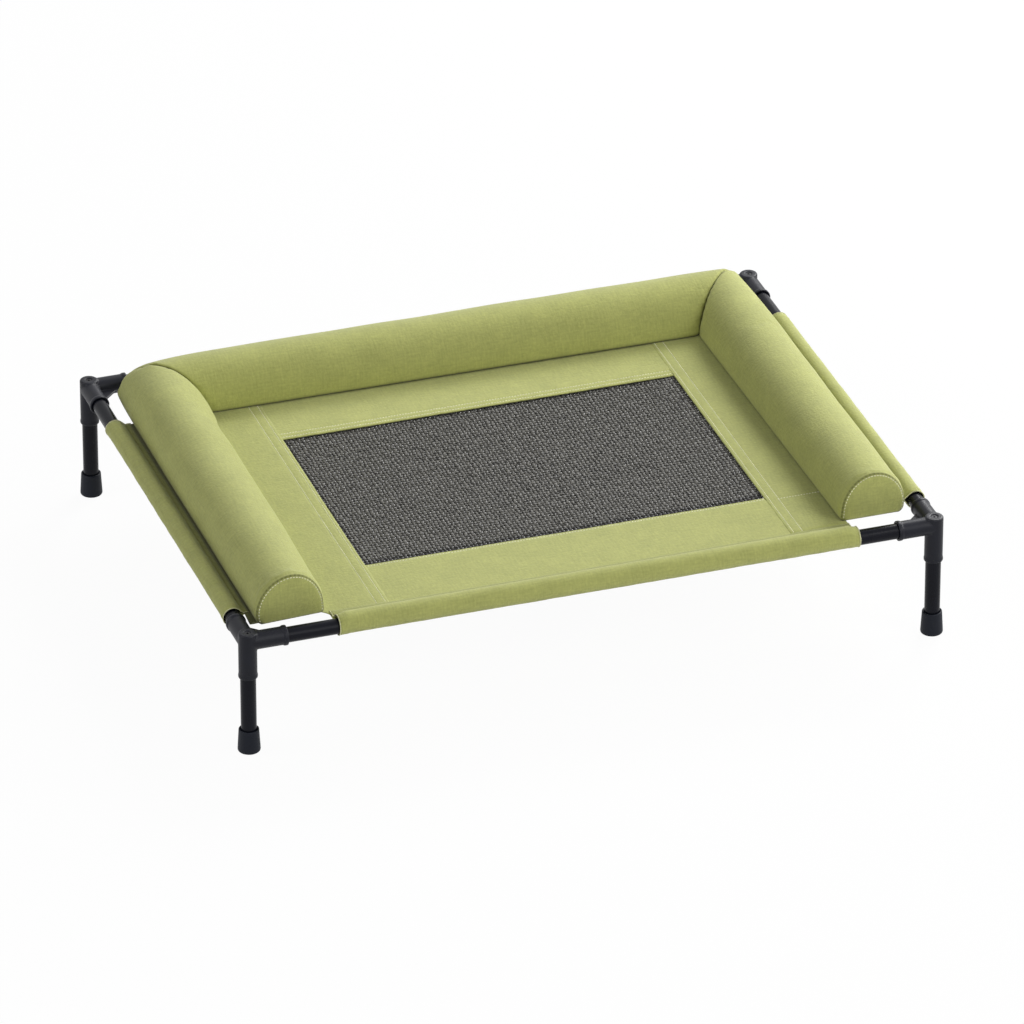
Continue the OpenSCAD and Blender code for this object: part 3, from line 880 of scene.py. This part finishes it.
# Uneven stuffing, and how much narrower and higher the cover starts than in the CAD
LUMP = 0.0012
LUMP_SCALE = 11.0
SLACK = 0.0018
CREST_RISE = 0.0024
# How far the bed side spreads at its foot, at the bolster's first and last end (left, rear, right)
FOOT = {-1: (0.0020, 0.0040), 0: (0.0016, 0.0090), 1: (0.0021, 0.0080)}
# How far the outer side stands out above its foot, at its first and last end
OUTER_SWELL = {-1: (0.0045, 0.0030), 0: (0.0030, 0.0), 1: (0.0, 0.0)}
# How far the foot is tucked in on its outer and bed sides, and up to what height
OUTER_TUCK = (0.0080, 0.0050)
BED_TUCK = (0.0024, 0.0026)
# Mitred corners: how far the outside is rounded off by side, how much of that at its foot, up to what
# height, from what share of the half-width on, and over what length
CORNER_ROUND = {-1: 0.0105, 1: 0.0050}
CORNER_FOOT = 0.35
CORNER_FOOT_UP = 0.025
CORNER_SHARE = 0.55
CORNER_REACH = 0.035
# How far the left corner runs on inwards, and more so at its foot up to a height, over what length of the
# left and the rear bolster, and where that starts and how it grows across them
LEFT_SHIFT = 0.0040
LEFT_FOOT = 0.012
LEFT_FOOT_UP = 0.045
LEFT_REACH = {-1: 0.130, 0: 0.050}
LEFT_FROM = 0.010
LEFT_GROWS = 0.020
# The left bolster also bows towards the bed behind its front end
LEFT_BOW = 0.0040
LEFT_BOW_RUN = 0.25


def close_steps(run, near, pitch):
    """Places along a run, close together next to both ends."""
    inner = steps(near[-1], run - near[-1], pitch)
    return list(near) + inner[1:-1] + [run - step for step in reversed(near)]


def bolster_section():
    """The outline in small steps as (outward, up), from the base's middle out, over the crest and back."""
    tall = BOLSTER_TALL - BOLSTER_BELLY
    start = math.asin(BOLSTER_BELLY / tall)
    fine = []
    for turn in steps(-start, math.pi + start, ARCH_TURN):
        fine.append((BOLSTER_A * math.cos(turn), BOLSTER_BELLY + tall * math.sin(turn)))
    lengths = path_lengths(fine)
    arch = []
    for along in close_steps(lengths[-1], FOOT_COLUMNS, ARCH_PITCH):
        nearest = min(range(len(lengths)), key=lambda i: abs(lengths[i] - along))
        arch.append(fine[nearest])
    half = arch[0][0]
    out = [(half * i / BASE_HALF, 0.0) for i in range(BASE_HALF)]
    back = [(-half * (BASE_HALF - 1 - i) / BASE_HALF, 0.0) for i in range(BASE_HALF)]
    return out + arch + back


SECTION = bolster_section()
SECTION_LENGTHS = path_lengths(SECTION)
# Columns of the section above its foot
ABOVE_FOOT = range(BASE_HALF + len(FOOT_COLUMNS), len(SECTION) - BASE_HALF - len(FOOT_COLUMNS))


def corner_pull(side, reach, out, up, distance):
    """How a mitred corner departs from a sharp one: rounded outside, and run on inwards on the left."""
    outside = smooth(out / (CORNER_SHARE * BOLSTER_A))
    outside *= lerp(CORNER_FOOT, 1, smooth(up / CORNER_FOOT_UP))
    round_off = CORNER_ROUND[side] * outside * math.exp(-distance / CORNER_REACH)
    pull = Vector((-side * round_off, -round_off, 0))
    if side < 0:
        inside = smooth((LEFT_FROM - out) / LEFT_GROWS) * smooth(1 - distance / reach)
        foot = LEFT_FOOT * max(0.0, 1 - up / LEFT_FOOT_UP) ** 2
        pull.x += (LEFT_SHIFT + foot) * inside
    return pull


def swollen(which, column, draw, dip, share, place):
    """A section point drawn in and lowered by so much, spread at its foot and uneven with its stuffing."""
    out, up = SECTION[column]
    lump = LUMP * noise.noise(Vector(place) * LUMP_SCALE)
    above = smooth(up / BOLSTER_BELLY)
    foot = lerp(*FOOT[which], share) * max(0.0, -out / BOLSTER_A) * (1 - up / BOLSTER_TALL) ** 2
    swell = lerp(*OUTER_SWELL[which], share) * max(0.0, out / BOLSTER_A)
    deep, tall = OUTER_TUCK if out > 0 else BED_TUCK
    tuck = deep * out / BOLSTER_A * math.exp(-up / tall)
    narrowed = out * (1 - (draw + (SLACK - lump) * above) / BOLSTER_A)
    return narrowed + swell - foot - tuck, up * (1 - (draw + dip - CREST_RISE - lump) / BOLSTER_TALL)


def left_bow(out):
    """How far the left bolster bows towards the bed, least on its outer side."""
    return LEFT_BOW * smooth((BOLSTER_A - out) / (2 * BOLSTER_A))


def mitre_draw(distance):
    """How far a cover is drawn in at a distance from a mitre."""
    return MITRE_DRAW * math.exp(-distance / MITRE_LENGTH) + MITRE_SINK * math.exp(-distance / SINK_LENGTH)


def mitre_dip(side, distance):
    """How far the crest is lowered at a distance from a mitre."""
    return MITRE_DIP[side] * math.exp(-distance / DIP_LENGTH)


def welt_draw(column, along):
    """How far a cover is drawn in behind its front seam, with puckers from stitch to stitch."""
    pucker = WELT_PUCKER * math.sin(column * WELT_TURN)
    groove = math.exp(-(((along - WELT_BACK) / WELT_WIDE) ** 2))
    return FRONT_DRAW * math.exp(-along / FRONT_LENGTH) + (WELT_GROOVE + pucker) * groove


def side_bolster_point(side, column, along):
    """A point of a side bolster, with along from its front seam to the mitre's middle."""
    front = BOLSTER_FRONT + FRONT_SHIFT[side]
    run = BOLSTER_Y - front
    to_mitre = run - along
    draw = welt_draw(column, along) + mitre_draw(to_mitre)
    place = (side * BOLSTER_X, along, SECTION_LENGTHS[column])
    out, up = swollen(side, column, draw, mitre_dip(side, to_mitre), along / run, place)
    slant = FRONT_SLANT[side] * out / BOLSTER_A
    y = front + slant + along * (run + out - slant - MITRE_GAP) / run
    point = Vector((side * (BOLSTER_X + out), y, BOLSTER_Z + up))
    if side < 0:
        point.x += left_bow(out) * smooth(along / LEFT_BOW_RUN)
    return point + corner_pull(side, LEFT_REACH[-1], out, up, to_mitre)


def rear_bolster_point(column, along):
    """A point of the rear bolster, with along from its left mitre's middle to its right one's."""
    run = 2 * BOLSTER_X
    place = (along, BOLSTER_Y, SECTION_LENGTHS[column])
    dip = mitre_dip(-1, along) + mitre_dip(1, run - along)
    out, up = swollen(0, column, mitre_draw(min(along, run - along)), dip, along / run, place)
    x = (BOLSTER_X + out - MITRE_GAP) * (2 * along / run - 1)
    point = Vector((x, BOLSTER_Y + out, BOLSTER_Z + up))
    point.x += left_bow(out) * smooth(1 - along / LEFT_REACH[0])
    point += corner_pull(-1, LEFT_REACH[0], out, up, along)
    return point + corner_pull(1, LEFT_REACH[0], out, up, run - along)


def closed_cover(name, rows, first, last, welt, unroll, *replaced):
    """A closed cover from rows of points, gathered into one point at both ends. It is sewn down along
    its base, within so many rows of its first seam and from its last one on, and gathered beside them."""
    def sewn(column, row):
        return 1.0 if column not in ABOVE_FOOT or abs(row - first) <= welt or row >= last else 0.0

    # Painted shade at the seams, and along the foot where the cover meets the panel
    def seam(column, row):
        up_outer = column - BASE_HALF
        up_bed = len(SECTION) - 1 - BASE_HALF - column
        foot = 1.0 if min(up_outer, up_bed) < 0 else 0.0
        if 0 <= up_outer < len(OUTER_FOOT_SHADE):
            foot = OUTER_FOOT_SHADE[up_outer]
        if 0 <= up_bed < len(BED_FOOT_SHADE):
            foot = BED_FOOT_SHADE[up_bed]
        start = (FRONT_SEAM_SHADE if welt else LEFT_MITRE_SEAM_SHADE).get(row - first, 0.0)
        if welt:
            start *= 1 - SEAM_SHADE_PATCH + SEAM_SHADE_PATCH * math.sin(column * WELT_TURN)
        if row < first:
            return max(start, foot * BASE_SEAM_SHADE.get(row - first, 0.0))
        return max(foot, start, MITRE_SEAM_SHADE.get(last - row, 0.0))

    def taut(column, row):
        if not first <= row <= last:
            return 1.0
        off = [(rows[row](column) - rows[end](column)).length for end in (first, last)]
        return 1 - math.exp(-min(off) / GATHER_LENGTH)

    bm = cloth_grid(
        len(SECTION) - 1,
        len(rows) - 1,
        lambda column, row: rows[row](column),
        unroll,
        sewn=sewn,
        taut=taut,
        seam=seam,
    )
    bmesh.ops.remove_doubles(bm, verts=bm.verts, dist=1e-5)
    bmesh.ops.recalc_face_normals(bm, faces=bm.faces)
    made = piece(name, bm, GREEN, "cloth", *replaced)
    return made


def towards(middle, ring, share, bulge=None):
    """A row of points between an end's middle and its ring, bulging out between them."""
    rise = bulge * (1 - share ** END_POWER) if bulge else Vector()
    return lambda column: middle.lerp(ring(column), share) + rise


def side_bolster(side):
    """The left or right bolster, from its sewn-in front end to its mitre."""
    name = "right_bolster" if side > 0 else "left_bolster"
    front = BOLSTER_FRONT + FRONT_SHIFT[side]
    run = BOLSTER_Y - front

    def ring(along):
        return lambda column: side_bolster_point(side, column, along)

    front_middle = Vector((side * BOLSTER_X, front, BOLSTER_Z + END_MIDDLE * BOLSTER_TALL))
    rear_middle = Vector((side * BOLSTER_X, BOLSTER_Y, BOLSTER_Z + MITRE_MIDDLE * BOLSTER_TALL))
    rows = [towards(front_middle, ring(0), share, Vector((0, -END_BULGE, 0))) for share in END_RINGS]
    rows += [ring(along) for along in close_steps(run, SEAM_ROWS, BOLSTER_PITCH)]
    rows += [towards(rear_middle, ring(run), share) for share in reversed(MITRE_RINGS)]

    def unroll(column, row, face_row):
        point = rows[row](column)
        if face_row < len(END_RINGS):
            return point.x, point.z
        return SECTION_LENGTHS[column], point.y

    first, last = len(END_RINGS), len(rows) - 1 - len(MITRE_RINGS)
    replaced = [name + "_cover", name + "_filling", name + "_end"]
    return closed_cover(name, rows, first, last, WELT_ROWS, unroll, *replaced)


def rear_bolster():
    """The rear bolster, from mitre to mitre."""
    run = 2 * BOLSTER_X

    def ring(along):
        return lambda column: rear_bolster_point(column, along)

    middle_z = BOLSTER_Z + MITRE_MIDDLE * BOLSTER_TALL
    left, right = (Vector((x, BOLSTER_Y, middle_z)) for x in (-BOLSTER_X, BOLSTER_X))
    rows = [towards(left, ring(0), share) for share in MITRE_RINGS]
    rows += [ring(along) for along in close_steps(run, SEAM_ROWS, BOLSTER_PITCH)]
    rows += [towards(right, ring(run), share) for share in reversed(MITRE_RINGS)]

    def unroll(column, row, face_row):
        return SECTION_LENGTHS[column], rows[row](column).x

    first, last = len(MITRE_RINGS), len(rows) - 1 - len(MITRE_RINGS)
    replaced = ["rear_bolster_cover", "rear_bolster_filling"]
    return closed_cover("rear_bolster", rows, first, last, 0, unroll, *replaced)


# Stuffing: each cover is blown up against its sewn edges, so that it swells between them

# The pressure inside, for how many frames it lasts, and how far a point moves at most
STUFF_PRESSURE = 25.0
STUFF_FRAMES = 20
STUFF_REACH = 0.005
# Shrinkage of the cloth between the seams and beside them, where spare cloth is gathered
SPARE = 0.0
GATHER = -0.05
GATHER_LENGTH = 0.010


def take_mark(made, mark):
    """Turns a mark on the points into a vertex group."""
    values = [item.value for item in made.data.attributes[mark].data]
    made.data.attributes.remove(made.data.attributes[mark])
    group = made.vertex_groups.new(name=mark)
    for index, value in enumerate(values):
        group.add([index], value, "REPLACE")


def stuff(covers):
    scene = bpy.context.scene
    for made in covers:
        take_mark(made, "sewn")
        take_mark(made, "taut")
        cloth = made.modifiers.new("stuffing", "CLOTH")
        cloth.settings.quality = 6
        cloth.settings.mass = 0.2
        cloth.settings.bending_stiffness = 0.4
        cloth.settings.use_pressure = True
        cloth.settings.uniform_pressure_force = STUFF_PRESSURE
        cloth.settings.effector_weights.gravity = 0
        cloth.settings.vertex_group_mass = "sewn"
        cloth.settings.vertex_group_shrink = "taut"
        cloth.settings.shrink_min = GATHER
        cloth.settings.shrink_max = SPARE
        cloth.collision_settings.use_collision = False
        cloth.point_cache.frame_end = STUFF_FRAMES
    for number in range(1, STUFF_FRAMES + 1):
        scene.frame_set(number)
    shapes = bpy.context.evaluated_depsgraph_get()
    for made in covers:
        blown = [v.co.copy() for v in made.evaluated_get(shapes).data.vertices]
        made.modifiers.clear()
        made.vertex_groups.clear()
        for v, place in zip(made.data.vertices, blown):
            move = place - v.co
            v.co += move * min(1.0, STUFF_REACH / max(move.length, STUFF_REACH / 100))
        made.data.update()
    scene.frame_set(1)


bolsters = {-1: side_bolster(-1), 0: rear_bolster(), 1: side_bolster(1)}
stuff(bolsters.values())


# Cut edges: a pale bead round each end of the sleeves

EDGE_BEAD = 0.0008
BEAD_SIDES = 6


def bead(path, axis, radius):
    """A thin round edge along a path that lies in one plane, whose normal is the axis."""
    def place(column, row):
        before, after = path[max(0, column - 1)], path[min(len(path) - 1, column + 1)]
        outwards = (after - before).cross(axis).normalized()
        turn = 2 * math.pi * row / BEAD_SIDES
        return path[column] + radius * (math.cos(turn) * outwards + math.sin(turn) * axis)

    bm = cloth_grid(len(path) - 1, BEAD_SIDES, place, no_map)
    close_tube(bm, BEAD_SIDES)
    return bm


def sleeve_edges():
    """The beads of all the sleeves' ends in one piece."""
    bm = bmesh.new()
    for path, axis in sleeve_ends:
        add_mesh(bm, as_mesh(bead(path, axis, EDGE_BEAD)))
    piece("sleeve_edges", bm, CUT_EDGE, "cloth")


sleeve_edges()


# Stitches: pale thread along the window, across the right panel and round the bolsters' ends

STITCH_PITCH = 0.0042
STITCH_LENGTH = 0.0034
STITCH_WIDE = 0.0014
STITCH_RISE = 0.0007
# The row on a bolster's end: how far it lies inside the seam, and its columns from stitch to stitch
END_STITCH_IN = 0.0032
END_STITCH_STEP = 2


def stitch_shape():
    """One plain stitch of unit size."""
    bm = bmesh.new()
    bmesh.ops.create_uvsphere(bm, u_segments=6, v_segments=4, radius=1.0)
    return as_mesh(bm)


def sew(bm, shape, place, along, up):
    """One stitch at a place, lying along one way with its crown up another."""
    along = (along - up * along.dot(up)).normalized()
    turn = Matrix((along, up.cross(along), up)).transposed().to_4x4()
    size = Matrix.Diagonal((STITCH_LENGTH / 2, STITCH_WIDE / 2, STITCH_RISE, 1))
    copy = shape.copy()
    copy.transform(Matrix.Translation(place) @ turn @ size)
    add_mesh(bm, copy)


def panel_stitches():
    """The stitch rows of the four panels in one piece."""
    shape, up = stitch_shape(), Vector((0, 0, 1))
    bm = bmesh.new()
    along_y, along_x = Vector((0, 1, 0)), Vector((1, 0, 0))
    for side in (-1, 1):
        for row in SIDE_ROWS:
            x = window_side(side) + side * row
            for y in steps(-LONG_SEAM + STITCH_LENGTH, BED_REAR, STITCH_PITCH):
                sew(bm, shape, Vector((x, y, side_panel_top(side, x, y))), along_y, up)
    for side, edge, rows in ((1, WINDOW_REAR, REAR_ROWS), (-1, WINDOW_FRONT, FRONT_ROWS)):
        for row in rows:
            y = edge + side * row
            for x in steps(WINDOW_LEFT + STITCH_LENGTH, WINDOW_RIGHT - STITCH_LENGTH, STITCH_PITCH):
                sew(bm, shape, Vector((x, y, long_panel_top(side, x, y))), along_x, up)
    for x in steps(WINDOW_RIGHT + SIDE_ROWS[1], BED_X, STITCH_PITCH):
        sew(bm, shape, Vector((x, CROSS_SEAM_Y, side_panel_top(1, x, CROSS_SEAM_Y))), along_x, up)
    piece("panel_stitches", bm, THREAD, "cloth")


def end_stitches():
    """The stitch rows round both bolsters' front ends in one piece."""
    shape = stitch_shape()
    bm = bmesh.new()
    for side in (-1, 1):
        middle = Vector((side * BOLSTER_X, 0, BOLSTER_Z))
        for column in ABOVE_FOOT[::END_STITCH_STEP]:
            seam = side_bolster_point(side, column, 0)
            after = side_bolster_point(side, column + 1, 0) - side_bolster_point(side, column - 1, 0)
            inwards = Vector((middle.x - seam.x, 0, middle.z - seam.z)).normalized()
            _, place, normal, _ = bolsters[side].closest_point_on_mesh(seam + END_STITCH_IN * inwards)
            sew(bm, shape, place, after, normal)
    piece("end_stitches", bm, THREAD, "cloth")


panel_stitches()
end_stitches()


# Finishes of the CAD pieces that show as they are


def give_finish(node, finish):
    """Gives a CAD piece its one material."""
    nodes[node].data.materials.clear()
    nodes[node].data.materials.append(finish)


give_finish("leg_screws", STEEL)
give_finish("leg_plugs", NYLON)
for node in nodes:
    if node.startswith(("leg_front", "leg_rear")) or "rail" in node:
        give_finish(node, COATED)


# Stage: pale floor, soft light from above, and the photograph's view

FLOOR_HALF = 9.0
FLOOR_GREY = 0.90
# How much of the floor's white is its own where it is looked at, and the sky's light on the object
FLOOR_WHITE = 0.96
SKY = 0.02
LAMP_AIM = (0, 0, 0.17)


def seen_directly(tree):
    """1 for what the camera sees, also by reflection or through glass, and 0 for light on the object."""
    path = add_node(tree, "LightPath")
    seen = math_node(tree, "MAXIMUM", path.outputs["Is Camera Ray"], path.outputs["Is Glossy Ray"])
    return math_node(tree, "MAXIMUM", seen, path.outputs["Is Transmission Ray"])


def make_floor():
    """A pale floor that looks white and keeps the object's shadow."""
    bm = bmesh.new()
    bmesh.ops.create_grid(bm, x_segments=1, y_segments=1, size=FLOOR_HALF)
    mesh = as_mesh(bm)
    floor = bpy.data.objects.new("floor", mesh)
    bpy.context.scene.collection.objects.link(floor)
    grey = (FLOOR_GREY, FLOOR_GREY, FLOOR_GREY)
    material, tree, surface = new_finish("white_floor", grey, roughness=0.9, Specular_IOR_Level=0.0)
    white = add_node(tree, "Emission", {"Strength": 1.0})
    share = math_node(tree, "MULTIPLY", seen_directly(tree), FLOOR_WHITE)
    mix = add_node(tree, "MixShader", {0: share, 1: surface.outputs[0], 2: white.outputs[0]})
    tree.links.new(mix.outputs[0], tree.nodes["Material Output"].inputs["Surface"])
    mesh.materials.append(material)


def make_sky():
    """A white surround that hardly lights the object."""
    world = bpy.data.worlds.new("white_studio")
    world.use_nodes = True
    bpy.context.scene.world = world
    tree = world.node_tree
    background = tree.nodes["Background"]
    background.inputs["Color"].default_value = (1, 1, 1, 1)
    strength = add_node(tree, "MapRange", {"Value": seen_directly(tree), "To Min": SKY, "To Max": 1.0})
    tree.links.new(strength.outputs[0], background.inputs["Strength"])


def make_lamp(name, place, aim, size, power):
    """A square area lamp that shines at an aim."""
    lamp = bpy.data.lights.new(name, "AREA")
    lamp.shape = "SQUARE"
    lamp.size = size
    lamp.energy = power
    made = bpy.data.objects.new(name, lamp)
    made.location = place
    made.rotation_euler = (Vector(aim) - Vector(place)).to_track_quat("-Z", "Y").to_euler()
    bpy.context.scene.collection.objects.link(made)


make_floor()
make_sky()
for name, place, size, power in (
    ("key_lamp", (5.0, 0.6, 2.2), 3.0, 146.0),
    ("rear_lamp", (3.6, 3.6, 3.9), 2.4, 284.0),
    ("right_lamp", (3.6, -3.6, 3.9), 2.4, 108.0),
    ("front_fill", (0.0, -5.0, 3.0), 3.0, 68.0),
    ("left_fill", (-5.0, 0.0, 3.0), 3.0, 96.0),
):
    make_lamp(name, place, LAMP_AIM, size, power)

# The photograph's view: turn and rise in degrees, distance in metres and lens in millimetres
VIEW_TURN = math.radians(-18.753)
VIEW_RISE = math.radians(29.523)
VIEW_DISTANCE = 13.7426
VIEW_LENS = 341.03
# The point that the camera looks at, right of and above the origin in the picture's own plane
AIM_RIGHT = 0.00816
AIM_UP = 0.07028


def make_camera():
    """The camera at the photograph's view."""
    back = Vector((
        math.sin(VIEW_TURN) * math.cos(VIEW_RISE),
        -math.cos(VIEW_TURN) * math.cos(VIEW_RISE),
        math.sin(VIEW_RISE),
    ))
    turn = back.to_track_quat("Z", "Y")
    right, up = turn @ Vector((1, 0, 0)), turn @ Vector((0, 1, 0))
    camera = bpy.data.cameras.new("camera")
    camera.lens = VIEW_LENS
    camera.sensor_width = 36.0
    camera.clip_end = 100.0
    made = bpy.data.objects.new("camera", camera)
    made.location = right * AIM_RIGHT + up * AIM_UP + back * VIEW_DISTANCE
    made.rotation_euler = turn.to_euler()
    bpy.context.scene.collection.objects.link(made)
    bpy.context.scene.camera = made


make_camera()
bpy.context.scene.view_settings.view_transform = "Standard"
